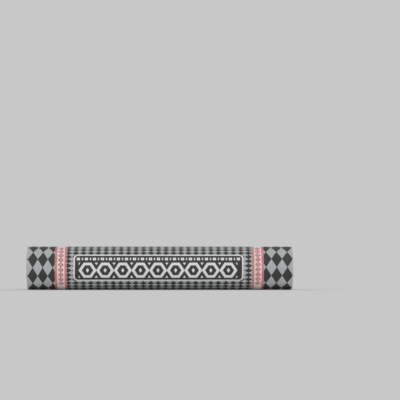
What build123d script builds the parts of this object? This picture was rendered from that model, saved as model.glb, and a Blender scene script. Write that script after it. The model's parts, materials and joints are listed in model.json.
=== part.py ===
from build123d import *
import os
from math import floor

# A roll of granule-surfaced roofing felt in its printed paper wrapper, held by two bands of tape.
# Millimetres. The roll lies on the floor along X, and the printed panel of its wrapper faces -Y.
# The origin is on the floor, under the middle of the roll.

# Felt: one sheet, wound on itself from the bore outwards
SHEET_WIDTH = 1000.0
SHEET_THICKNESS = 2.4
FELT_DIAMETER = 162.4
BORE_DIAMETER = 50.0
RIM_BEVEL = 0.6

# Each turn's cut edge leans by this much on the ends of the roll, so that it steps down to the next turn
EDGE_LEAN = 0.7

# Where the sheet's outer cut edge lies round the roll: 0 is underneath, 90 on the side away from the panel
SHEET_END_ANGLE = 20.0

# Paper wrapper: one sleeve over the felt
WRAPPER_THICKNESS = 0.25
WRAPPER_LOOSENESS = 0.2
WRAPPER_SETBACK = 1.0

# Adhesive tape: one band near each end, over the wrapper
TAPE_WIDTH = 45.0
TAPE_THICKNESS = 0.1
TAPE_LOOSENESS = 0.1
LEFT_TAPE_INSET = 106.0
RIGHT_TAPE_INSET = 110.0

# How far the cutters of the turns start above the end of the roll
CUTTER_OVERRUN = 0.2

# Radii that follow from the sizes above
felt_radius = FELT_DIAMETER / 2
bore_radius = BORE_DIAMETER / 2
wrapper_inside = felt_radius + WRAPPER_LOOSENESS
wrapper_outside = wrapper_inside + WRAPPER_THICKNESS
tape_inside = wrapper_outside + TAPE_LOOSENESS
tape_outside = tape_inside + TAPE_THICKNESS
half_width = SHEET_WIDTH / 2

# The sheet winds as a two-centre spiral: half turns, each half a thickness larger than the one before.
# What is left over after whole half turns is a narrow flat ring at the bore and another at the rim.
half_step = SHEET_THICKNESS / 2
wound_depth = felt_radius - bore_radius
half_steps = floor((wound_depth - 2 * RIM_BEVEL) / half_step)
half_turns = half_steps - 2
spiral_start = bore_radius + (wound_depth - half_steps * half_step) / 2


def turned_felt():
    """The wound sheet as one turned solid with its bore, standing on its axis."""
    profile = Rectangle(wound_depth, SHEET_WIDTH)
    profile = chamfer(profile.vertices(), RIM_BEVEL)
    return revolve(Plane.XZ * Pos(bore_radius + wound_depth / 2, 0) * profile, Axis.Z)


def leaning_edge(side):
    """What is cut from one turn at the upper end: a wedge one sheet wide, deepest next to the bore."""
    outer = side * SHEET_THICKNESS
    above = half_width + CUTTER_OVERRUN
    corners = [(0, half_width - EDGE_LEAN), (outer, half_width), (outer, above), (0, above)]
    return make_face(Polyline(*corners, close=True))


def spiral_of_turns():
    """Cutters that show the turns at the upper end, one for each half turn, from the bore outwards."""
    cutters = []
    for index in range(half_turns):
        side = 1 if index % 2 == 0 else -1
        centre = -side * half_step / 2
        inside = spiral_start + half_step / 2 + index * half_step
        section = Plane.XZ * Pos(centre + side * inside, 0) * leaning_edge(side)
        cutters.append(revolve(section, Axis((centre, 0, 0), (0, 0, 1)), 180))
    return cutters


def felt_roll():
    """The felt with its turns showing on both ends, one end the mirror image of the other."""
    upper = spiral_of_turns()
    lower = [mirror(cutter, Plane.XY) for cutter in upper]
    last_turn_side = 180 if half_turns % 2 else 0
    return Rot(0, 0, last_turn_side + SHEET_END_ANGLE) * (turned_felt() - (upper + lower))


def sleeve(inside, outside, length, middle=0.0):
    """A thin band round the roll, centred at a height along the roll's axis."""
    section = Pos((inside + outside) / 2, middle) * Rectangle(outside - inside, length)
    return revolve(Plane.XZ * section, Axis.Z)


def wrapper():
    """The printed paper, which stops just short of the felt's edges."""
    return sleeve(wrapper_inside, wrapper_outside, SHEET_WIDTH - 2 * WRAPPER_SETBACK)


def tape(middle):
    """One band of tape."""
    return sleeve(tape_inside, tape_outside, TAPE_WIDTH, middle)


def laid_down(part):
    """The part with the roll's axis turned from Z to X, and its tape on the floor."""
    return Pos(0, 0, tape_outside) * Rot(0, 90, 0) * part


nodes = {
    "felt_roll": felt_roll(),
    "wrapper": wrapper(),
    "tape_left": tape(LEFT_TAPE_INSET + TAPE_WIDTH / 2 - half_width),
    "tape_right": tape(half_width - RIGHT_TAPE_INSET - TAPE_WIDTH / 2),
}

os.makedirs("parts", exist_ok=True)
for name, part in nodes.items():
    piece = laid_down(part)
    piece.label = name
    export_step(piece, f"parts/{name}.step")
    print(f"{name}: {len(piece.solids())} solid, {piece.volume / 1000:.1f} cm3")
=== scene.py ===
import json
from math import cos, pi, radians, sin, sqrt

import bpy
import numpy as np
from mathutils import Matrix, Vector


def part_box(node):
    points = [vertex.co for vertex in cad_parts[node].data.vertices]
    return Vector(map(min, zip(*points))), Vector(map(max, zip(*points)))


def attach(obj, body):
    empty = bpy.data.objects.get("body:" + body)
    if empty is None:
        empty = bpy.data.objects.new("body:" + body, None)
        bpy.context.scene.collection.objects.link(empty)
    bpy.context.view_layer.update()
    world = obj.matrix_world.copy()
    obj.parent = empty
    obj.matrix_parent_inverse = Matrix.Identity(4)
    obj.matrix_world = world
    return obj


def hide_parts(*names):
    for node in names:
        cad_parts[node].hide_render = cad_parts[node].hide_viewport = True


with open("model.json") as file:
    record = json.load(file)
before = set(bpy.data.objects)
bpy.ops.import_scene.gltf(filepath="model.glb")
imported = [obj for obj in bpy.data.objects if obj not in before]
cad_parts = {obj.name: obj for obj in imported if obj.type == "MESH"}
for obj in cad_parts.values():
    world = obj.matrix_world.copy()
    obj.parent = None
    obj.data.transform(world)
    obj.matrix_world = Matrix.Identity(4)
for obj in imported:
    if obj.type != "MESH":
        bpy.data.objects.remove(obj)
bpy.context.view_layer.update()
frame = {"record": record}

# A roll of roofing felt in its printed paper wrapper. Metres, in the frame of the CAD model.
# Places round the roll are given by their angle from the front: 0 faces the camera, 90 degrees is
# underneath, 180 is the back and -90 the top. Places along the roll are given by their X.


def along_roll(node):
    """Middle of a CAD node along the roll and half its length, to a thousandth of a millimetre."""
    low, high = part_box(node)
    return round((low[0] + high[0]) / 2, 6), round((high[0] - low[0]) / 2, 6)


# Sizes and places that the CAD model gives
HALF_LENGTH = along_roll("felt_roll")[1]
PAPER_HALF_LENGTH = along_roll("wrapper")[1]
TAPE_LEFT_X, TAPE_HALF_WIDTH = along_roll("tape_left")
TAPE_RIGHT_X = along_roll("tape_right")[0]
BORE_HEIGHT = next(mount["pos_m"][2] for mount in frame["record"]["mounts"] if mount["name"] == "bore")

# Middle of the wound roll: the spiral is a little smaller at the top and back than underneath
AXIS_Y = 0.0006
AXIS_Z = 0.08245
UNDERNEATH = radians(90)
# The roll rests on the floor up to this angle to each side of its underside
RESTING = radians(9)
FLOOR_CLEARANCE = 0.00004

# Felt: one wound sheet. Its outer face reaches FELT_RADIUS at its outer cut edge, at SHEET_END.
SHEET = 0.0024
FELT_RADIUS = 0.0820
TURNS = 23.25
SHEET_END = radians(110)
STEPS_PER_TURN = 128
LAST_STEP = int(round(TURNS * STEPS_PER_TURN))
# Where the bore and the rim have rings of points between the ends of the roll
BORE_STATIONS = np.linspace(-0.492, 0.492, 33)
RIM_STATIONS = (-0.495, -0.25, 0.0, 0.25, 0.495)
# On the ends of the roll each turn's edge is rounded, with a groove to the next turn: places across
# the sheet, from its inner face to its outer one, and how deep the edge lies there
ACROSS = (0.0, 0.05, 0.12, 0.26, 0.5, 0.74, 0.88, 0.95, 1.0)
DEPTHS = (0.0013, 0.00055, 0.00019, 0.00003, 0.0, 0.00003, 0.00019, 0.00055, 0.0013)
COLUMNS = len(ACROSS) - 1
# How deep it lies at the corners of the bore and of the rim, where no groove is
CORNER_DEPTH = 0.0005
# The turns aren't level: slow, middling and quick waves along the sheet, and a depth of each turn's own
SLOW_WAVE = 0.00035
MIDDLING_WAVE = 0.00012
QUICK_WAVE = 0.00004
STAGGER = 0.0005
# Turns within SAG_RADIUS are out of round, and fully so SAG_DEPTH further in: how much, with how
# many waves round the roll, and their phase
SAG_RADIUS = 0.062
SAG_DEPTH = 0.038
SAGS = ((0.00035, 2, 0.7), (0.00018, 3, -0.4))
# The bore's waves along the roll, as a share of its radius, and where they start to fade to the ends
BORE_WAVE = 0.006
BORE_WAVE_END = 0.46

# Paper wrapper: wound once round, with its end lapping over its start at the back
PAPER = 0.00025
PAPER_GAP = 0.0001
LAP_EDGE = radians(204)
PAPER_OVERLAP = radians(17)
LAP_GAP = 0.00006
# The paper rises onto its first layer between these angles before the lap
LAP_RISE = (radians(5), radians(1))
# How far it stands off: in broad and small waves, at its cut ends, and along the lap's free edge
BROAD_WAVE = 0.00032
SMALL_WAVE = 0.00012
END_FLARE = 0.00018
FLARE_START = 0.484
LAP_FREE = radians(11)
LAP_LIFT = 0.0008
LAP_FLUTTER = 0.0006
CREASES = 15
# How far its cuts stray from a straight line: at its ends, and along the lap in the last rows of points
END_STRAY = 0.00035
STRAY_START = 0.47
LAP_STRAY = radians(0.35)
STRAY_ROWS = 9

# Tape bands: each is wound once round, with its torn end lapping over its start
TAPE = 0.0001
TAPE_GAP = 0.00004
TAPE_OVERLAP = radians(26)
# The tape rises onto its first layer between these angles before the lap
TAPE_RISE = (radians(5.0), radians(2.5))
# Its torn ends: their teeth, how far those reach, how far askew the tape is torn, and in how many rows
# of points
TEETH = 15
TOOTH = radians(1.1)
TORN_ASKEW = radians(2)
TORN_ROWS = 5
# How much of its outer end has lifted, and how far the corner stands off there
LIFTED = radians(9)
CORNER_LIFT = 0.0007
# How far it puckers, and how far it wanders to the side
TAPE_PUCKER = 0.00005
TAPE_DRIFT = 0.0004
# Under the roll it is pressed to this share of its thickness
TAPE_PRESSED = 0.6
# The paper has no waves under the tape and just beside it, and all of them a little further away
CALM_HALF_WIDTH = TAPE_HALF_WIDTH + 0.001
CALM_FADE = 0.03

# Paper and tape: how far their bends are softened, from which angle beside the underside they are free
# of the floor, and by how much the tape clears the edge of the paper's lap
PAPER_BEND = radians(1.2)
TAPE_BEND = radians(1.0)
PAPER_FREE = radians(30)
TAPE_FREE = radians(25)
LAP_CLEARANCE = radians(0.6)
# Their rows of points round the roll, and the paper's columns along it. They lie closer beside the
# felt's outer cut edge, before the outer end of each sheet, and from PAPER_CLOSER on to the paper's ends.
PAPER_ROWS = 200
TAPE_ROWS = 196
PAPER_COLUMNS = 93
BRIDGE = radians(3)
LAP_CLOSER = radians(6)
TORN_CLOSER = radians(8)
PAPER_CLOSER = 0.48

# Maps that the surfaces are baked to. The felt's has a disc for each end, and every map has strips
# for the surfaces that are long and narrow, or that hardly show.
DISC_MIDDLES = {-1: (0.25, 0.75), 1: (0.75, 0.75)}
DISC_REACH = 0.242
DISC_RADIUS = 0.0825
STRIP_LENGTH = (0.01, 0.99)
BORE_STRIP = (0.20, 0.49)
RIM_STRIP = (0.01, 0.18)
PAPER_FRONT = ((0.002, 0.998), (0.002, 0.978))
PAPER_BACK_STRIP = (0.986, 0.992)
PAPER_EDGE_STRIP = (0.994, 0.999)
# The tape's front is cut into strips that lie side by side, with room between them
TAPE_STRIPS = 3
TAPE_STRIP_WIDTH = (0.04, 0.96)
TAPE_STRIP_LENGTH = (0.012, 0.857)
TAPE_BACK_STRIP = (0.89, 0.96)
TAPE_EDGE_STRIP = (0.98, 0.998)

# The felt's other map tells its material how many turns along the sheet a place lies, and how far
# across its cut edge, from 0 to 1. On the faces of the sheet one of these stands for the latter.
ON_BORE = -1.0
ON_RIM = 2.0

# The radius that the print was drawn for
PRINT_RADIUS = 0.08165

SEEDS = {
    "left_end": 31,
    "right_end": 57,
    "bore": 77,
    "paper": 11,
    "creases": 5,
    "paper_ends": 8,
    "paper_lap": 9,
    "tape_left": 3,
    "tape_right": 4,
}


# Waves and places


def random(what):
    """Random numbers for one thing, the same at every run."""
    return np.random.default_rng(SEEDS[what])


def smoothstep(low, high, value):
    """0 at low and 1 at high, with a smooth change between."""
    t = np.clip((value - low) / (high - low), 0.0, 1.0)
    return t * t * (3 - 2 * t)


def ripple(rng, count, lowest, highest):
    """A smooth random wave of one variable, between about -1 and 1."""
    rates = rng.uniform(lowest, highest, count)
    phases = rng.uniform(0, 2 * pi, count)
    sizes = rng.uniform(0.5, 1.0, count)
    sizes /= sizes.sum()
    return lambda v: sum(size * np.cos(rate * v + phase) for size, rate, phase in zip(sizes, rates, phases))


def quilt(rng, count, rounds, lengths):
    """A smooth random wave over the roll: whole waves round it, any number along it."""
    turns = rng.integers(rounds[0], rounds[1] + 1, count)
    rates = 2 * pi / rng.uniform(lengths[0], lengths[1], count) * rng.choice([-1, 1], count)
    phases = rng.uniform(0, 2 * pi, count)
    waves = list(zip(turns, rates, phases))

    def wave(angle, x):
        return sum(np.cos(turn * angle + rate * x + phase) for turn, rate, phase in waves) / count

    return wave


def place(angle, radius):
    """Y and Z of a point round the roll's axis."""
    return AXIS_Y - radius * np.cos(angle), AXIS_Z - radius * np.sin(angle)


def from_front(angle):
    """The same place round the roll, as an angle between -180 and 180 degrees."""
    return np.mod(angle + pi, 2 * pi) - pi


def off_the_floor(angle, free):
    """0 where the roll rests on the floor, and 1 from the angle free on, to each side."""
    return smoothstep(RESTING, free, np.abs(from_front(angle) - UNDERNEATH))


def sheet_side(x, angle, radius, layer):
    """Points of one side of a sheet, kept just above the floor and a layer on it."""
    y, z = place(angle, radius)
    return np.stack([x, y, np.maximum(z, FLOOR_CLEARANCE + layer)], axis=-1)


def wound_radius(turns):
    """Inner face of the sheet, after that many turns from its start at the bore."""
    return FELT_RADIUS - SHEET * (TURNS + 1 - turns)


def felt_outline(angle):
    """Outer face of the felt round the roll, with the step at the sheet's cut end."""
    since_end = np.mod(angle - SHEET_END, 2 * pi) / (2 * pi)
    return FELT_RADIUS - SHEET * (1 - since_end)


def pulled_over(outline, softness):
    """A sheet pulled tight over an outline round the roll: its hull, with slightly rounded corners."""
    count = len(outline)
    angles = np.arange(count) * 2 * pi / count
    facing = np.cos(angles[:, None] - angles[None, :])
    farthest = (outline[None, :] * facing).max(axis=1)
    tangents = farthest[None, :] / np.maximum(facing, 0.5)
    hull = np.where(facing > 0.5, tangents, 1.0).min(axis=1)
    reach = int(round(softness / (2 * pi) * count)) + 1
    kernel = np.hanning(2 * reach + 1)
    kernel /= kernel.sum()

    def softened(values):
        joined = np.concatenate([values[-reach:], values, values[:reach]])
        return np.convolve(joined, kernel, mode="valid")

    # Softening cuts corners, so the sheet is lifted by as much around them
    smooth = softened(hull)
    short = np.maximum(hull - smooth, 0.0)
    nearby = np.max([np.roll(short, shift) for shift in range(-reach, reach + 1)], axis=0)
    return smooth + softened(nearby)


OUTLINE_STEPS = 1440
OUTLINE_ANGLES = np.arange(OUTLINE_STEPS) * 2 * pi / OUTLINE_STEPS
PAPER_BASE = pulled_over(felt_outline(OUTLINE_ANGLES), PAPER_BEND) + PAPER_GAP


def around(profile, angle):
    """A profile given round the roll, read at any angle."""
    turned = np.mod(angle, 2 * pi)
    return np.interp(turned, np.append(OUTLINE_ANGLES, 2 * pi), np.append(profile, profile[0]))


# Meshes


def in_scene(name, data):
    """A new object, linked to the scene."""
    thing = bpy.data.objects.new(name, data)
    bpy.context.scene.collection.objects.link(thing)
    return thing


def add_mesh(name, vertices, faces, materials, sharp_angle, face_materials=None):
    """A smooth piece, with sharp edges where its faces meet at more than sharp_angle, in degrees."""
    mesh = bpy.data.meshes.new(name)
    mesh.from_pydata(vertices.tolist(), [], faces)
    for material in materials:
        mesh.materials.append(material)
    if face_materials is not None:
        mesh.polygons.foreach_set("material_index", face_materials)
    mesh.polygons.foreach_set("use_smooth", [True] * len(mesh.polygons))
    mesh.set_sharp_from_angle(angle=radians(sharp_angle))
    return in_scene(name, mesh)


def add_uv(piece, name, corners):
    """A map, with a place on it for each corner of each face."""
    layer = piece.data.uv_layers.new(name=name)
    layer.data.foreach_set("uv", np.asarray(corners, float).ravel())


def on_strip(strip, share):
    """A place between the start and the end of a strip, from its share of the way."""
    start, end = strip
    return start + (end - start) * share


# Felt


def end_relief(side):
    """How far each place along the spiral's edge lies inside the end of the roll."""
    rng = random("left_end" if side < 0 else "right_end")
    slow = ripple(rng, count=5, lowest=0.4, highest=1.6)
    middling = ripple(rng, count=6, lowest=2.5, highest=7.0)
    quick = ripple(rng, count=8, lowest=14.0, highest=40.0)
    own_depth = rng.uniform(0, 1, int(TURNS + 1) + 3)

    def relief(turns):
        whole = int(turns)
        between = smoothstep(0.0, 1.0, turns - whole)
        stagger = own_depth[whole] * (1 - between) + own_depth[whole + 1] * between
        uneven = SLOW_WAVE * (1 + slow(turns)) + MIDDLING_WAVE * middling(turns) + QUICK_WAVE * quick(turns)
        uneven += STAGGER * stagger
        # The outermost turns are more level than the rest
        inner = smoothstep(TURNS + 1.2, TURNS - 1.0, turns)
        return max(0.0, uneven * (0.25 + 0.75 * inner))

    return relief


def bore_sag(angle, radius):
    """The turns nearest to the bore are slightly out of round."""
    share = np.clip((SAG_RADIUS - radius) / SAG_DEPTH, 0, 1)
    return share * share * sum(size * cos(waves * angle + phase) for size, waves, phase in SAGS)


BORE_RIPPLE = ripple(random("bore"), count=5, lowest=6.0, highest=26.0)


def bore_wave(x, angle):
    """The share by which the bore is wider than at its ends."""
    inside = smoothstep(HALF_LENGTH, BORE_WAVE_END, abs(x))
    return BORE_WAVE * inside * BORE_RIPPLE(x + 0.35 * sin(angle))


class WoundSheet:
    """The felt's mesh. A point on an end of the roll has a side, -1 or 1, a step along the sheet, and
    a column across its edge."""

    def __init__(self):
        self.vertices = []
        self.numbers = {}
        self.faces = []
        self.sheet_uv = []
        self.bake_uv = []

    def end_points(self, side):
        """Column 0 goes on for one more turn, as the outer face of the last one."""
        relief = end_relief(side)
        for step in range(LAST_STEP + STEPS_PER_TURN + 1):
            in_groove = STEPS_PER_TURN <= step <= LAST_STEP
            self.end_point(side, step, 0, DEPTHS[0] if in_groove else CORNER_DEPTH, relief)
        for step in range(LAST_STEP + 1):
            for column in range(1, COLUMNS):
                self.end_point(side, step, column, DEPTHS[column], relief)

    def end_point(self, side, step, column, depth, relief):
        turns = step / STEPS_PER_TURN
        angle = SHEET_END + 2 * pi * (turns - TURNS)
        radius = wound_radius(turns) + ACROSS[column] * SHEET
        radius += bore_sag(angle, radius)
        y, z = place(angle, radius)
        x = side * (HALF_LENGTH - depth - relief(turns + ACROSS[column]))
        self.numbers[side, step, column] = len(self.vertices)
        self.vertices.append((x, y, z))

    def number(self, side, step, column):
        """A point's number. The outer face of a turn is the inner face of the next one."""
        if column == COLUMNS:
            return self.numbers[side, step + STEPS_PER_TURN, 0]
        return self.numbers[side, step, column]

    def end_faces(self, side):
        for step in range(LAST_STEP):
            for column in range(COLUMNS):
                quad = [(step, column), (step + 1, column), (step + 1, column + 1), (step, column + 1)]
                if side > 0:
                    quad.reverse()
                corners = [self.number(side, *c) for c in quad]
                self.faces.append(corners)
                self.sheet_uv += [(s / STEPS_PER_TURN, ACROSS[c]) for s, c in quad]
                self.bake_uv += [self.on_disc(side, n) for n in corners]

    def on_disc(self, side, number):
        """Where a point on an end of the roll lies on the baked map."""
        _, y, z = self.vertices[number]
        across, up = DISC_MIDDLES[side]
        scale = DISC_REACH / DISC_RADIUS
        return across + (y - AXIS_Y) * scale, up + (z - AXIS_Z) * scale

    def wall(self, first, stations, face, strip):
        """The bore or the rim, from one end of the roll to the other. It is bounded by one turn from
        the first step on, and by the cut edge of the sheet, back to that step."""
        loop = [(first + step, 0) for step in range(STEPS_PER_TURN + 1)]
        loop += [(first, column) for column in range(COLUMNS - 1, 0, -1)]
        rings = [[self.numbers[-1, step, column] for step, column in loop]]
        rings += [self.ring(x, loop, face) for x in stations]
        rings.append([self.numbers[1, step, column] for step, column in loop])
        places = [-HALF_LENGTH, *stations, HALF_LENGTH]
        count = len(loop)
        for row in range(len(rings) - 1):
            for here in range(count):
                there = (here + 1) % count
                quad = [(row, here), (row, there), (row + 1, there), (row + 1, here)]
                if face == ON_BORE:
                    quad.reverse()
                self.faces.append([rings[ring][point] for ring, point in quad])
                for ring, point in quad:
                    # The last face ends where the strip does, not back at its start
                    turned = count if point == 0 and here == count - 1 else point
                    along = (places[ring] / HALF_LENGTH + 1) / 2
                    self.sheet_uv.append((loop[point][0] / STEPS_PER_TURN, face))
                    self.bake_uv.append((on_strip(STRIP_LENGTH, along), on_strip(strip, turned / count)))

    def ring(self, x, loop, face):
        """Points at one place along the bore or the rim, behind those of the loop at the left end."""
        numbers = []
        for step, column in loop:
            _, y, z = self.vertices[self.numbers[-1, step, column]]
            if face == ON_BORE:
                push = 1 + bore_wave(x, step / STEPS_PER_TURN * 2 * pi)
                y, z = AXIS_Y + (y - AXIS_Y) * push, AXIS_Z + (z - AXIS_Z) * push
            numbers.append(len(self.vertices))
            self.vertices.append((x, y, z))
        return numbers


def felt_turns(materials):
    """The wound sheet: both ends follow the spiral, with a groove between the turns."""
    sheet = WoundSheet()
    for side in (-1, 1):
        sheet.end_points(side)
    for side in (-1, 1):
        sheet.end_faces(side)
    sheet.wall(0, BORE_STATIONS, ON_BORE, BORE_STRIP)
    sheet.wall(LAST_STEP, RIM_STATIONS, ON_RIM, RIM_STRIP)
    piece = add_mesh("felt_turns", np.array(sheet.vertices), sheet.faces, materials, sharp_angle=50)
    add_uv(piece, "sheet", sheet.sheet_uv)
    add_uv(piece, "OFBake", sheet.bake_uv)
    return piece


# Paper and tape


def closed_sheet(name, outer, inner, materials, print_angle, front_uv, back_uv, edge_strip):
    """A thin sheet from two grids of points, outer and inner: [place round the roll][place along it].

    front_uv and back_uv give a corner's place on the map that the surface is baked to.
    """
    rows, columns = outer.shape[:2]
    size = rows * columns
    vertices = np.concatenate([outer.reshape(-1, 3), inner.reshape(-1, 3)])
    faces, kinds, uvs = [], [], []

    def spot(row, column, layer):
        return layer * size + row * columns + column

    for row in range(rows - 1):
        for column in range(columns - 1):
            quad = [(row, column), (row + 1, column), (row + 1, column + 1), (row, column + 1)]
            faces.append([spot(*c, 0) for c in quad])
            kinds.append(0)
            uvs += [front_uv(row, *c) for c in quad]
            quad.reverse()
            faces.append([spot(*c, 1) for c in quad])
            kinds.append(1)
            uvs += [back_uv(c[0] / rows, c[1] / columns) for c in quad]
    edge = [(0, c) for c in range(columns)]
    edge += [(r, columns - 1) for r in range(1, rows)]
    edge += [(rows - 1, c) for c in range(columns - 2, -1, -1)]
    edge += [(r, 0) for r in range(rows - 2, 0, -1)]
    low, high = edge_strip
    for index, here in enumerate(edge):
        there = edge[(index + 1) % len(edge)]
        faces.append([spot(*here, 0), spot(*there, 0), spot(*there, 1), spot(*here, 1)])
        kinds.append(1)
        start, end = index / len(edge), (index + 1) / len(edge)
        uvs += [(start, high), (end, high), (end, low), (start, low)]
    piece = add_mesh(name, vertices, faces, materials, sharp_angle=40, face_materials=kinds)
    add_uv(piece, "OFBake", uvs)
    attribute = piece.data.attributes.new("wrap_angle", "FLOAT", "POINT")
    angles = np.repeat(print_angle, columns)
    attribute.data.foreach_set("value", np.concatenate([angles, angles]).astype(np.float32))
    return piece


def calm_near_tapes(x):
    """0 under the tape bands, 1 well away from them."""
    calm = np.ones_like(x)
    for middle in (TAPE_LEFT_X, TAPE_RIGHT_X):
        calm = calm * smoothstep(CALM_HALF_WIDTH, CALM_HALF_WIDTH + CALM_FADE, np.abs(x - middle))
    return calm


def lap_rise(angle):
    """The end of the paper that laps over rises onto the first layer: 0 before the lap, 1 on it."""
    lap_start = LAP_EDGE - PAPER_OVERLAP
    return smoothstep(lap_start - LAP_RISE[0], lap_start - LAP_RISE[1], angle)


def bridge_angles():
    """Places close together where a sheet bridges the step at the felt's outer cut edge."""
    return np.linspace(SHEET_END - BRIDGE, SHEET_END + BRIDGE, 9)


def creases(angle, x):
    """Height of a few soft creases in the paper, most of them on its back."""
    rng = random("creases")
    total = np.zeros_like(angle)
    for _ in range(CREASES):
        middle_x = rng.uniform(-0.46, 0.46)
        middle_angle = rng.uniform(radians(120), radians(330))
        lean = rng.uniform(radians(25), radians(155))
        length = rng.uniform(0.025, 0.07)
        height = rng.uniform(0.0001, 0.0003)
        width = rng.uniform(0.0025, 0.005)
        arc = from_front(angle - middle_angle) * PRINT_RADIUS
        aside = (x - middle_x) * sin(lean) - arc * cos(lean)
        on = (x - middle_x) * cos(lean) + arc * sin(lean)
        total += height * np.exp(-(aside / width) ** 2) * smoothstep(length, 0.2 * length, np.abs(on))
    return total


def paper_grid():
    """The angles round the roll and the places along it where the paper has points."""
    start = LAP_EDGE - 2 * pi - PAPER_OVERLAP
    angles = np.unique(np.concatenate([
        np.linspace(start, LAP_EDGE, PAPER_ROWS),
        np.linspace(LAP_EDGE - LAP_CLOSER, LAP_EDGE, 9),
        bridge_angles(),
    ]))
    beside_tapes = [
        middle + side * CALM_HALF_WIDTH for middle in (TAPE_LEFT_X, TAPE_RIGHT_X) for side in (-1, 1)
    ]
    stations = np.unique(np.round(np.concatenate([
        np.linspace(-PAPER_HALF_LENGTH, -PAPER_CLOSER, 9),
        np.linspace(-PAPER_CLOSER, PAPER_CLOSER, PAPER_COLUMNS),
        np.linspace(PAPER_CLOSER, PAPER_HALF_LENGTH, 9),
        beside_tapes,
    ]), 6))
    return angles, stations


def paper_inside(angle, x):
    """Radius of the paper's inner side."""
    rng = random("paper")
    radius = around(PAPER_BASE, angle)
    radius += (PAPER + LAP_GAP) * lap_rise(angle)
    # Loose waves, less of them at the front and none under the tape or where the roll rests
    broad = quilt(rng, count=7, rounds=(1, 4), lengths=(0.16, 0.5))
    small = quilt(rng, count=9, rounds=(5, 13), lengths=(0.05, 0.15))
    turned = from_front(angle)
    free = off_the_floor(angle, PAPER_FREE)
    front = 0.55 + 0.45 * smoothstep(radians(60), radians(110), np.abs(turned))
    loose = calm_near_tapes(x) * free * front
    wave = BROAD_WAVE * (1 + broad(angle, x)) / 2 + SMALL_WAVE * (1 + small(angle, x)) / 2
    radius += wave * loose
    radius += creases(turned, x) * loose
    # The free edge of the lap stands up a little between the tapes
    flutter = quilt(rng, count=4, rounds=(1, 1), lengths=(0.09, 0.3))
    near_edge = smoothstep(LAP_EDGE - LAP_FREE, LAP_EDGE, angle)
    lift = LAP_LIFT + LAP_FLUTTER * flutter(0 * angle, x)
    radius += near_edge ** 2 * lift * calm_near_tapes(x)
    # Cut ends of the paper flare and pucker slightly
    pucker = quilt(rng, count=5, rounds=(6, 17), lengths=(3.0, 5.0))
    at_end = smoothstep(FLARE_START, PAPER_HALF_LENGTH, np.abs(x))
    radius += at_end * free * END_FLARE * (1 + pucker(angle, x))
    return radius


def paper_wrapper(materials):
    """The paper, with its inner and outer side."""
    angles, stations = paper_grid()
    angle, x = np.meshgrid(angles, stations, indexing="ij")
    radius = paper_inside(angle, x)
    # The cut ends of the paper and the edge of its lap aren't quite straight
    ragged = quilt(random("paper_ends"), count=6, rounds=(2, 19), lengths=(3.0, 5.0))
    at_end = smoothstep(STRAY_START, PAPER_HALF_LENGTH, np.abs(x))
    x = x + np.sign(x) * END_STRAY * ragged(angle, np.sign(x)) * at_end
    edge = ripple(random("paper_lap"), count=6, lowest=5.0, highest=60.0)
    at_lap = smoothstep(angles[-STRAY_ROWS], angles[-1], angle)
    turned = angle + at_lap * LAP_STRAY * edge(x)
    outer = sheet_side(x, turned, radius + PAPER, TAPE + TAPE_GAP)
    inner = sheet_side(x, turned, radius, TAPE + TAPE_GAP + PAPER)

    def front_uv(_, row, column):
        along = (stations[column] + PAPER_HALF_LENGTH) / (2 * PAPER_HALF_LENGTH)
        round_it = (angles[row] - angles[0]) / (angles[-1] - angles[0])
        return on_strip(PAPER_FRONT[0], along), on_strip(PAPER_FRONT[1], round_it)

    def back_uv(round_it, along):
        return on_strip(STRIP_LENGTH, along), on_strip(PAPER_BACK_STRIP, round_it)

    name = "wrapper_paper"
    return closed_sheet(name, outer, inner, materials, angles, front_uv, back_uv, PAPER_EDGE_STRIP)


def tape_profile():
    """Outside of the paper under a tape band, pulled over once more."""
    lapped = lap_rise(OUTLINE_ANGLES) * (OUTLINE_ANGLES < LAP_EDGE + LAP_CLEARANCE)
    return pulled_over(PAPER_BASE + PAPER + (PAPER + LAP_GAP) * lapped, TAPE_BEND) + TAPE_GAP


def tape_angles(end):
    """Places round the roll where a tape band with its torn end at that angle has points."""
    return np.unique(np.concatenate([
        np.linspace(end - 2 * pi - TAPE_OVERLAP, end, TAPE_ROWS),
        bridge_angles(),
        np.linspace(end - TORN_CLOSER, end, 7),
    ]))


def tape_inside(angles, across, rng):
    """Angle, place across the band and radius of each point of a tape's inner side."""
    first, end = angles[0], angles[-1]
    angle, across = np.meshgrid(angles, across, indexing="ij")
    radius = around(tape_profile(), angle)
    lap_start = first + 2 * pi
    risen = smoothstep(lap_start - TAPE_RISE[0], lap_start - TAPE_RISE[1], angle)
    radius = radius + (TAPE + TAPE_GAP) * risen
    # The torn ends are toothed, and the outer one has begun to lift
    tooth = np.arange(across.shape[1]) % 2
    cut = smoothstep(angles[-TORN_ROWS], end, angle) - smoothstep(angles[TORN_ROWS - 1], first, angle)
    askew = rng.uniform(-0.6, 0.6) * TORN_ASKEW
    aside = across / TAPE_HALF_WIDTH
    angle = angle + cut * (TOOTH * (tooth[None, :] - 0.5) + askew * aside)
    lift = smoothstep(end - LIFTED, end, angle) ** 2 * smoothstep(-0.4, 1.0, aside)
    radius = radius + CORNER_LIFT * lift
    # Small puckers where the tape was pulled round by hand
    pucker = quilt(rng, count=6, rounds=(9, 24), lengths=(0.05, 0.12))
    puckered = 1 + pucker(angle, across)
    free = off_the_floor(angle, TAPE_FREE)
    radius = radius + free * TAPE_PUCKER * puckered * (0.3 + 0.7 * np.abs(aside) ** 2)
    return angle, across, radius


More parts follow.
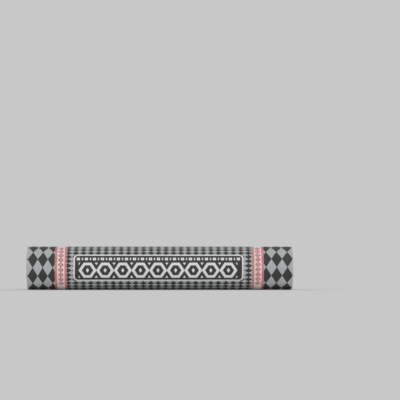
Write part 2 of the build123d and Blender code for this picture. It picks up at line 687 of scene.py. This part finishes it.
def tape_band(side, middle, end, materials):
    """One band of tape: wound once round the roll, its torn end lying over its start."""
    rng = random(f"tape_{side}")
    angles = tape_angles(end)
    steps = np.linspace(-TAPE_HALF_WIDTH, TAPE_HALF_WIDTH, 2 * TEETH + 1)
    angle, across, radius = tape_inside(angles, steps, rng)
    drift = quilt(rng, count=3, rounds=(1, 2), lengths=(3.0, 5.0))
    x = middle + across + TAPE_DRIFT * drift(angle, 0 * across)
    outer = sheet_side(x, angle, radius + TAPE, 0.0)
    inner = sheet_side(x, angle, radius, TAPE * TAPE_PRESSED)
    strips_on = (angles - angles[0]) / (angles[-1] - angles[0]) * TAPE_STRIPS

    def front_uv(face_row, row, column):
        strip = int(strips_on[face_row])
        share = on_strip(TAPE_STRIP_WIDTH, column / (2 * TEETH))
        return (strip + share) / TAPE_STRIPS, on_strip(TAPE_STRIP_LENGTH, strips_on[row] - strip)

    def back_uv(round_it, along):
        return on_strip(STRIP_LENGTH, round_it), on_strip(TAPE_BACK_STRIP, along)

    name = f"tape_band_{side}"
    return closed_sheet(name, outer, inner, materials, angles, front_uv, back_uv, TAPE_EDGE_STRIP)


# Nodes of the materials


class Wire:
    """A value in a node tree. Arithmetic on it adds Math nodes."""

    def __init__(self, tree, socket):
        self.tree = tree
        self.socket = socket

    def math(self, operation, *others):
        node = self.tree.nodes.new("ShaderNodeMath")
        node.operation = operation
        for slot, value in zip(node.inputs, (self, *others)):
            feed(self.tree, slot, value)
        return Wire(self.tree, node.outputs[0])

    def __add__(self, other):
        return self.math("ADD", other)

    def __sub__(self, other):
        return self.math("SUBTRACT", other)

    def __mul__(self, other):
        return self.math("MULTIPLY", other)

    def __truediv__(self, other):
        return self.math("DIVIDE", other)

    def __abs__(self):
        return self.math("ABSOLUTE")

    def least(self, other):
        return self.math("MINIMUM", other)

    def most(self, other):
        return self.math("MAXIMUM", other)

    def minus_from(self, other):
        """other - self"""
        return (self * -1.0) + other

    def cyclic(self, start, period):
        """How far this is from the nearest of the places start + n * period, with its sign."""
        return (((self - (start - period / 2)) / period).math("FRACT") - 0.5) * period

    def below(self, limit, softness):
        """1 where this is less than limit, 0 where it is more."""
        return self.ranged(limit + softness, limit - softness)

    def ranged(self, low, high):
        """0 at low, 1 at high, straight between."""
        node = self.tree.nodes.new("ShaderNodeMapRange")
        feed(self.tree, node.inputs["Value"], self)
        node.inputs["From Min"].default_value = low
        node.inputs["From Max"].default_value = high
        return Wire(self.tree, node.outputs["Result"])


def feed(tree, slot, value):
    """Links a wire to a node's input, or sets a plain value there."""
    if isinstance(value, Wire):
        tree.links.new(value.socket, slot)
    else:
        slot.default_value = value


class Surface:
    """A material with its principled shader, and the nodes that feed it."""

    def __init__(self, name):
        self.material = bpy.data.materials.new(name)
        self.material.use_nodes = True
        self.tree = self.material.node_tree
        self.shader = self.tree.nodes["Principled BSDF"]

    def set(self, **values):
        """Feeds the shader's inputs. An underscore stands for a space in an input's name."""
        for name, value in values.items():
            feed(self.tree, self.shader.inputs[name.replace("_", " ")], value)

    def node(self, kind, inputs=None, **settings):
        """A new node with its settings, and with values or wires for its inputs."""
        node = self.tree.nodes.new(kind)
        for name, value in settings.items():
            setattr(node, name, value)
        for name, value in (inputs or {}).items():
            feed(self.tree, node.inputs[name], value)
        return node

    def wire(self, node, output):
        return Wire(self.tree, node.outputs[output])

    def scaled(self, vector, amount):
        """A vector or a colour times a factor, which may vary over the surface."""
        node = self.node("ShaderNodeVectorMath", {0: vector, "Scale": amount}, operation="SCALE")
        return self.wire(node, 0)

    def split(self, vector):
        """A vector's three values."""
        node = self.node("ShaderNodeSeparateXYZ", {0: vector})
        return [self.wire(node, i) for i in range(3)]

    def vector(self, x, y, z=0.0):
        return self.wire(self.node("ShaderNodeCombineXYZ", {"X": x, "Y": y, "Z": z}), 0)

    def place(self):
        """The object's own coordinates, in millimetres."""
        return self.scaled(self.wire(self.node("ShaderNodeTexCoord"), "Object"), 1000.0)

    def attribute(self, name):
        return self.wire(self.node("ShaderNodeAttribute", attribute_name=name), "Fac")

    def noise(self, vector, scale, detail=3.0, roughness=0.6):
        inputs = {"Vector": vector, "Scale": scale, "Detail": detail, "Roughness": roughness}
        return self.wire(self.node("ShaderNodeTexNoise", inputs), "Fac")

    def cells(self, vector, scale):
        """Random cells: two random values for each, and the distance from its middle."""
        node = self.node("ShaderNodeTexVoronoi", {"Vector": vector, "Scale": scale})
        parts = self.node("ShaderNodeSeparateColor", {0: self.wire(node, "Color")})
        return self.wire(parts, 0), self.wire(parts, 1), self.wire(node, "Distance")

    def mix(self, share, first, second):
        node = self.node("ShaderNodeMix", data_type="RGBA")
        feed(self.tree, node.inputs["Factor"], share)
        feed(self.tree, node.inputs["A"], first)
        feed(self.tree, node.inputs["B"], second)
        return self.wire(node, "Result")

    def ramp(self, value, stops):
        node = self.node("ShaderNodeValToRGB", {"Fac": value})
        elements = node.color_ramp.elements
        while len(elements) < len(stops):
            elements.new(0.5)
        for element, (position, colour) in zip(elements, stops):
            element.position = position
            element.color = colour
        return self.wire(node, "Color")

    def bump(self, height, distance, strength, under=None):
        inputs = {"Height": height, "Distance": distance, "Strength": strength}
        if under is not None:
            inputs["Normal"] = under
        return self.wire(self.node("ShaderNodeBump", inputs), "Normal")


def grey(value):
    return (value, value, value, 1.0)


# Print. Places and sizes are in millimetres, along the roll and round it from the middle of its front.

# Half the width of the print's soft edges, and of the seams between one pattern and the next
PRINT_BLUR = 0.3
SEAM_BLUR = 0.2
# How far the print runs along the roll for each radian, because the paper was wrapped a little askew
PRINT_SKEW = 0.45
# The print stops short of the paper's edge: the angle where it ends, and half its soft edge, in degrees
PRINT_EDGE = 199.8
PRINT_EDGE_BLUR = 0.15

# Between these places the ink is rubbed off more and more
RUBBED = (489.0, 499.5)

# Chequers of lozenges. For the places along the roll, then for those round it: where one lozenge
# lies, and how far apart they are. Then their size, where 1 makes their corners just meet.
DEGREE = PRINT_RADIUS * 1000 * pi / 180
LEFT_DIAMONDS = ((-476.5, 37.45), (21.9 * DEGREE, 45 * DEGREE), 1.02)
RIGHT_DIAMONDS = ((478.5, 40.27), (20.4 * DEGREE, 45 * DEGREE), 1.02)
SMALL_DIAMONDS = ((-344.2, 28.18), (6.7 * DEGREE, 12.41 * DEGREE), 1.03)

# Panel: its middle; half its length, half its height and its corners' radius, for its white frame
# and for the dark field in that
PANEL_MIDDLE = (-5.6, -1.0)
PANEL_FRAME = (319.0, 52.0, 17.0)
PANEL_FIELD = (313.2, 47.4, 12.0)

# Chain of six-sided links: half a link's height, half its flat sides, how wide its band is, and how
# far its tips reach over the middle between two links
LINKS = 9
LINK_MIDDLE = (-7.5, 8.9)
LINK_PITCH = 66.0
LINK_HEIGHT = 28.9
LINK_FLAT = 14.5
LINK_BAND = 10.2
LINK_OVERLAP = 0.8
# Half the lozenge in a link, and the size of the triangles between two links
LINK_LOZENGE = (6.0, 9.0)
LINK_TRIANGLE = (6.0, 9.5)

# Row over the chain: half a dash, half the lozenge between two dashes, and half the row
ROW_MIDDLE = (-6.0, -34.6)
ROW_PITCH = 30.0
ROW_DASH = (6.0, 5.4)
ROW_LOZENGE = (3.5, 6.4)
ROW_REACH = 307.0

# Tape: groups of lozenges, with gaps of half a group. Half a lozenge across the tape and along it,
# and the shares of it that its ring's hole and the spot in that take.
TAPE_LOZENGES = 9
TAPE_PITCH = 19.0
TAPE_GROUP = TAPE_LOZENGES * TAPE_PITCH
TAPE_LOZENGE = (11.2, 9.5)
RING_HOLE = 0.52
RING_SPOT = 0.30
# From the tape's middle to the pale line, and to the red stripe outside it
LINE_START = 11.6
STRIPE_START = 13.6

# Colours of the print. A pair is what an uneven colour lies between.
GREY_INK = ((0.360, 0.372, 0.386, 1.0), (0.386, 0.393, 0.402, 1.0))
BLACK_INK = ((0.031, 0.0325, 0.033, 1.0), (0.041, 0.042, 0.042, 1.0))
WHITE_INK = (0.635, 0.638, 0.636, 1.0)
PAPER_WHITE = (0.60, 0.59, 0.56, 1.0)
BARE_PAPER = ((0.50, 0.49, 0.46, 1.0), (0.64, 0.63, 0.60, 1.0))
TAPE_WHITE = ((0.66, 0.64, 0.625, 1.0), (0.72, 0.69, 0.675, 1.0))
TAPE_RED = ((0.53, 0.17, 0.17, 1.0), (0.60, 0.22, 0.215, 1.0))
TAPE_TINT = (0.80, 0.56, 0.53, 1.0)
TAPE_MOTIF = (0.46, 0.065, 0.065, 1.0)
TAPE_LINE = (0.74, 0.73, 0.72, 1.0)
TAPE_GUM = ((0.42, 0.24, 0.22, 1.0), (0.56, 0.42, 0.39, 1.0))
# The wrapper's inks, as they show through the tape
GREY_BENEATH = (0.355, 0.368, 0.380, 1.0)
BLACK_BENEATH = (0.030, 0.0315, 0.032, 1.0)

# Colours of the felt
BITUMEN = ((0.012, 0.012, 0.0125, 1.0), (0.032, 0.031, 0.030, 1.0))
SAND = ((0.05, 0.049, 0.047, 1.0), (0.30, 0.29, 0.27, 1.0))
FLEECE = (0.085, 0.075, 0.062, 1.0)
DUST = (0.15, 0.148, 0.14, 1.0)
GRANULES = (
    (0.0, grey(0.045)),
    (0.35, grey(0.105)),
    (0.6, grey(0.18)),
    (0.85, (0.27, 0.275, 0.28, 1.0)),
    (1.0, (0.43, 0.43, 0.42, 1.0)),
)


def lozenges(along, arc, columns, rows, size):
    """1 on the dark lozenges of a chequer of them."""
    aside = abs(along.cyclic(*columns)) / columns[1]
    above = abs(arc.cyclic(*rows)) / rows[1]
    slope = sqrt(1 / columns[1] ** 2 + 1 / rows[1] ** 2)
    return (aside + above).below(0.5 * size, PRINT_BLUR * slope)


def diamonds(along, arc):
    """The wrapper's ground: large diamonds at both ends, small ones between the tapes."""
    left = lozenges(along, arc, *LEFT_DIAMONDS)
    right = lozenges(along, arc, *RIGHT_DIAMONDS)
    small = lozenges(along, arc, *SMALL_DIAMONDS)
    at_left = along.below(TAPE_LEFT_X * 1000, SEAM_BLUR)
    at_right = along.below(TAPE_RIGHT_X * 1000, SEAM_BLUR).minus_from(1.0)
    between = (at_left + at_right).minus_from(1.0)
    return left * at_left + right * at_right + small * between


def in_panel(along, arc, half_length, half_height, radius):
    """1 inside a panel with rounded corners."""
    aside = abs(along - PANEL_MIDDLE[0]) - (half_length - radius)
    above = abs(arc - PANEL_MIDDLE[1]) - (half_height - radius)
    outside = (aside.most(0.0) * aside.most(0.0) + above.most(0.0) * above.most(0.0)).math("SQRT")
    distance = outside + aside.most(above).least(0.0) - radius
    return distance.below(0.0, PRINT_BLUR)


def chain(along, arc):
    """Large six-sided links round lozenges, with triangles between them."""
    aside = abs(along.cyclic(LINK_MIDDLE[0], LINK_PITCH))
    above = abs(arc - LINK_MIDDLE[1])
    tip = LINK_PITCH / 2 + LINK_OVERLAP
    shallow = tip - LINK_FLAT
    run = sqrt(LINK_HEIGHT ** 2 + shallow ** 2)
    slanted = aside * (LINK_HEIGHT / run) + above * (shallow / run) - tip * LINK_HEIGHT / run
    distance = slanted.most(above - LINK_HEIGHT)
    hole = distance.below(-LINK_BAND, PRINT_BLUR)
    link = distance.below(0.0, PRINT_BLUR) * hole.minus_from(1.0)
    lozenge = (aside / LINK_LOZENGE[0] + above / LINK_LOZENGE[1]).below(1.0, softness=0.03)
    from_tip = aside.minus_from(LINK_PITCH / 2) / LINK_TRIANGLE[0]
    from_side = above.minus_from(LINK_HEIGHT) / LINK_TRIANGLE[1]
    triangle = (from_tip + from_side).below(1.0, softness=0.02) * above.below(LINK_HEIGHT, PRINT_BLUR)
    in_chain = abs(along - LINK_MIDDLE[0]).below(LINKS / 2 * LINK_PITCH + SEAM_BLUR, PRINT_BLUR)
    return link.most(triangle).most(lozenge) * in_chain


def thin_row(along, arc):
    """Dashes and small lozenges by turns."""
    aside = abs(along.cyclic(ROW_MIDDLE[0], ROW_PITCH))
    above = abs(arc - ROW_MIDDLE[1])
    dash = aside.below(ROW_DASH[0], PRINT_BLUR) * above.below(ROW_DASH[1], PRINT_BLUR)
    from_lozenge = aside.minus_from(ROW_PITCH / 2) / ROW_LOZENGE[0] + above / ROW_LOZENGE[1]
    lozenge = from_lozenge.below(1.0, softness=0.05)
    return dash.most(lozenge) * abs(along - ROW_MIDDLE[0]).below(ROW_REACH, PRINT_BLUR)


# Materials


def paper_print():
    """Printed paper: satin ink on slightly uneven stock."""
    s = Surface("printed_paper")
    at = s.place()
    x = s.split(at)[0]
    angle = s.attribute("wrap_angle")
    arc = angle * (PRINT_RADIUS * 1000)
    along = x + angle * PRINT_SKEW
    # The ink isn't quite even: cloudy over centimetres, and streaked the way the paper ran through the press
    flat = s.vector(x, arc)
    cloud = s.noise(flat, scale=0.022, detail=4.0, roughness=0.55)
    streak = s.noise(s.vector(x * 0.012, arc * 0.35), scale=1.0)
    fibre = s.noise(s.vector(x * 0.5, arc * 1.1), scale=1.6, detail=4.0, roughness=0.7)
    light = s.mix(cloud.ranged(0.35, 0.7), *GREY_INK)
    dark = s.mix(cloud.ranged(0.3, 0.75), *BLACK_INK)
    ground = s.mix(diamonds(along, arc), light, dark)
    in_field = in_panel(along, arc, *PANEL_FIELD)
    ornament = chain(along, arc).most(thin_row(along, arc))
    field = s.mix(ornament * in_field, dark, WHITE_INK)
    framed = s.mix(in_field, WHITE_INK, field)
    printed = s.mix(in_panel(along, arc, *PANEL_FRAME), ground, framed)
    margin = (angle * (180 / pi)).ranged(PRINT_EDGE - PRINT_EDGE_BLUR, PRINT_EDGE + PRINT_EDGE_BLUR)
    printed = s.mix(margin, printed, PAPER_WHITE)
    # Rubbed spots along the cut ends
    near_end = abs(x).ranged(*RUBBED)
    specks = s.noise(flat, scale=0.55, detail=5.0, roughness=0.65)
    rubbed = (near_end * 0.55 + specks).ranged(0.93, 1.06)
    worn = s.mix(rubbed * 0.8, printed, PAPER_WHITE)
    tone = fibre * 0.10 + streak * 0.05 + cloud * 0.03 + 0.91
    grain = s.noise(at, scale=1.9)
    crumple = s.noise(flat, scale=0.11, roughness=0.5)
    crumpled = s.bump(crumple, distance=1.2, strength=0.18)
    s.set(
        Base_Color=s.scaled(worn, tone),
        Roughness=fibre.ranged(0.2, 0.8) * 0.10 + cloud * 0.12 + 0.36,
        Specular_IOR_Level=0.30,
        Normal=s.bump(grain, distance=0.12, strength=0.25, under=crumpled),
    )
    return s.material


def paper_back():
    """The paper's unprinted side and cut edges."""
    s = Surface("bare_paper")
    x, y, z = s.split(s.place())
    fibre = s.noise(s.vector(x * 0.4, y, z), scale=1.5, detail=4.0, roughness=0.7)
    s.set(
        Base_Color=s.mix(fibre.ranged(0.3, 0.7), *BARE_PAPER),
        Roughness=fibre * 0.1 + 0.78,
        Normal=s.bump(fibre, distance=0.1, strength=0.3),
    )
    return s.material


def tape_print(side, middle, group_start):
    """Glossy adhesive tape: a red stripe along each edge, and groups of red lozenges between them."""
    s = Surface(f"printed_tape_{side}")
    x = s.split(s.place())[0]
    arc = s.attribute("wrap_angle") * (PRINT_RADIUS * 1000)
    across = abs(x - middle * 1000)
    in_group = arc.cyclic(group_start + TAPE_GROUP / 2, 1.5 * TAPE_GROUP)
    grouped = abs(in_group).below(TAPE_GROUP / 2, SEAM_BLUR)
    link = abs(in_group.cyclic(0.0, TAPE_PITCH))
    lozenge = across / TAPE_LOZENGE[0] + link / TAPE_LOZENGE[1]
    hole = lozenge.below(RING_HOLE, softness=0.03)
    ring = lozenge.below(1.0, softness=0.03) * hole.minus_from(1.0)
    spot = lozenge.below(RING_SPOT, softness=0.03)
    between_stripes = across.below(STRIPE_START, PRINT_BLUR)
    line = across.ranged(LINE_START, LINE_START + PRINT_BLUR) * between_stripes
    cloud = s.noise(s.vector(x * 0.3, arc), scale=0.06, roughness=0.5)
    pale = s.mix(grouped * 0.5, s.mix(cloud, *TAPE_WHITE), TAPE_TINT)
    pale = s.mix(ring.most(spot) * grouped, pale, TAPE_MOTIF)
    centre = s.mix(line, pale, TAPE_LINE)
    printed = s.mix(between_stripes.minus_from(1.0), centre, s.mix(cloud, *TAPE_RED))
    # The wrapper's diamonds show through faintly
    beneath = s.mix(diamonds(x, arc), GREY_BENEATH, BLACK_BENEATH)
    seen = s.mix(0.10, printed, beneath)
    drawn = s.noise(s.vector(x * 1.6, arc * 0.04), scale=1.0, detail=2.0, roughness=0.5)
    bubbles = s.noise(s.vector(x, arc), scale=0.16, detail=4.0)
    bubbled = s.bump(bubbles, distance=0.5, strength=0.2)
    s.set(
        Base_Color=s.scaled(seen, cloud * 0.05 + 0.97),
        Roughness=bubbles.ranged(0.45, 0.7) * 0.16 + 0.20,
        Specular_IOR_Level=0.42,
        Normal=s.bump(drawn, distance=0.05, strength=0.3, under=bubbled),
    )
    return s.material


def tape_back():
    """The tape's gummed side and its edges."""
    s = Surface("tape_edge")
    speck = s.noise(s.place(), scale=0.8)
    s.set(
        Base_Color=s.mix(speck, *TAPE_GUM),
        Roughness=speck * 0.15 + 0.35,
        Normal=s.bump(speck, distance=0.05, strength=0.3),
    )
    return s.material


def felt_surface():
    """Bitumen sheet: mineral granules on its inner face, sand on its outer one, and cut edges between."""
    s = Surface("granulated_felt")
    at = s.place()
    turn, across, _ = s.split(s.wire(s.node("ShaderNodeUVMap", uv_map="sheet"), 0))
    wander = s.noise(at, scale=0.35)
    smear = s.noise(at, scale=0.12, detail=5.0, roughness=0.7)
    threads = s.noise(s.scaled(at, 3.0), scale=0.8, roughness=0.7)
    tint, pick, from_middle = s.cells(at, scale=0.95)
    fine, _, _ = s.cells(at, scale=2.6)
    bitumen = s.mix(wander.ranged(0.35, 0.7), *BITUMEN)
    chips = from_middle.below(0.46, softness=0.08) * pick.ranged(0.16, 0.20)
    granulated = s.mix(chips, bitumen, s.ramp(tint, GRANULES))
    sand = s.mix(fine.ranged(0.25, 0.9) * 0.8, *SAND)
    # Cut edge: granules at the inner face, the fleece in the middle, dust and sand at the outer face
    face_of_granules = (across + (wander - 0.5) * 0.22).below(0.28, softness=0.03)
    fleece = abs(across - 0.52 + (wander - 0.5) * 0.1).below(0.05, softness=0.03)
    core = s.mix(fleece * threads.ranged(0.4, 0.6) * 0.65, bitumen, FLEECE)
    dusty = s.mix(smear.ranged(0.42, 0.72) * 0.55 * fine.ranged(0.2, 0.8), core, DUST)
    patchy = s.noise(s.vector(turn * 9.0, 0.0), scale=1.0)
    at_sand = (across + (smear - 0.5) * 0.25).ranged(0.62, 0.78) * patchy.ranged(0.15, 0.6)
    edge = s.mix(at_sand * 0.9, s.mix(face_of_granules * 0.85, dusty, granulated), sand)
    # Faces of the sheet, which show in the bore and round the rim
    on_bore = across.below(ON_BORE / 2, softness=0.01)
    on_rim = across.below((1 + ON_RIM) / 2, softness=0.01).minus_from(1.0)
    coloured = s.mix(on_rim, s.mix(on_bore, edge, granulated), sand)
    rough_chips = chips * from_middle.minus_from(0.6) * on_bore.most(face_of_granules)
    relief = rough_chips + threads * 0.12 + wander * 0.25
    s.set(
        Base_Color=coloured,
        Roughness=(chips * 0.2 + smear * 0.25 + 0.5).least(0.95),
        Specular_IOR_Level=0.35,
        Normal=s.bump(relief, distance=0.9, strength=0.55),
    )
    return s.material


# Stage

# Background as the camera and reflections see it, the sky that lights the roll, and the share of the
# light that the floor gives back to it
BACKGROUND = 0.578
SKY = 0.84
FLOOR_WHITE = 0.97
FLOOR_REACH = 60.0
# Soft lamps: strength, height, side and spread
LAMPS = {
    "soft_front": (0.40, radians(7), radians(-10), radians(40)),
    "soft_top": (0.58, radians(58), radians(18), radians(50)),
}
# Camera: how far off it is, how far it is turned up and to the right, its lens and sensor in millimetres
CAMERA_DISTANCE = 6.287
CAMERA_UP = radians(2.357)
CAMERA_RIGHT = radians(1.382)
CAMERA_LENS = 148.9
CAMERA_SENSOR = 36.0
CAMERA_REACH = 200.0


def in_view(tree):
    """1 for rays of the camera, of reflections and through glass, and 0 for the light on things."""
    path = tree.nodes.new("ShaderNodeLightPath")
    kinds = ("Is Camera Ray", "Is Glossy Ray", "Is Transmission Ray")
    straight, mirrored, through = (Wire(tree, path.outputs[kind]) for kind in kinds)
    return straight.most(mirrored).most(through)


def floor():
    """A plain floor, which looks like the background and keeps the roll's shadow."""
    mesh = bpy.data.meshes.new("floor")
    far = FLOOR_REACH
    mesh.from_pydata([(-far, -far, 0), (far, -far, 0), (far, far, 0), (-far, far, 0)], [], [(0, 1, 2, 3)])
    s = Surface("floor_paint")
    # The light that falls on the open floor
    light = SKY + sum(strength * sin(height) for strength, height, _, _ in LAMPS.values()) / pi
    paint = s.mix(in_view(s.tree), grey(FLOOR_WHITE), grey(BACKGROUND / light))
    s.set(Base_Color=paint, Roughness=1.0, Specular_IOR_Level=0.0)
    mesh.materials.append(s.material)
    in_scene("floor", mesh)


def daylight():
    """An even sky, and soft lamps in front of the roll."""
    world = bpy.data.worlds.new("studio")
    bpy.context.scene.world = world
    world.use_nodes = True
    tree = world.node_tree
    background = tree.nodes["Background"]
    background.inputs["Color"].default_value = grey(1.0)
    feed(tree, background.inputs["Strength"], in_view(tree) * (BACKGROUND - SKY) + SKY)
    for name, (strength, height, side, spread) in LAMPS.items():
        lamp = bpy.data.lights.new(name, "SUN")
        lamp.energy = strength
        lamp.angle = spread
        in_scene(name, lamp).rotation_euler = (pi / 2 - height, 0, side)


def camera():
    """Opposite the middle of the roll, and level with its bore."""
    data = bpy.data.cameras.new("camera")
    holder = in_scene("camera", data)
    holder.location = (0.0, -CAMERA_DISTANCE, BORE_HEIGHT)
    holder.rotation_euler = (pi / 2 + CAMERA_UP, 0, -CAMERA_RIGHT)
    data.sensor_width = CAMERA_SENSOR
    data.lens = CAMERA_LENS
    data.clip_end = CAMERA_REACH
    bpy.context.scene.camera = holder


camera()
daylight()
floor()

# Tape bands: where each lies, the angle of its torn end, and where round the roll a group of its
# lozenges starts, in millimetres
BANDS = {
    "left": (TAPE_LEFT_X, radians(222), -97.0),
    "right": (TAPE_RIGHT_X, radians(168), -99.0),
}

pieces = {
    "felt_roll": (felt_turns([felt_surface()]), "felt"),
    "wrapper": (paper_wrapper([paper_print(), paper_back()]), "printed_paper"),
}
gummed = tape_back()
for side, (middle, end, group_start) in BANDS.items():
    printed = tape_print(side, middle, group_start)
    pieces[f"tape_{side}"] = (tape_band(side, middle, end, [printed, gummed]), "tape")
for node, (piece, slot) in pieces.items():
    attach(piece, "root")
    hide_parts(node)

bpy.context.scene.view_settings.view_transform = "Standard"
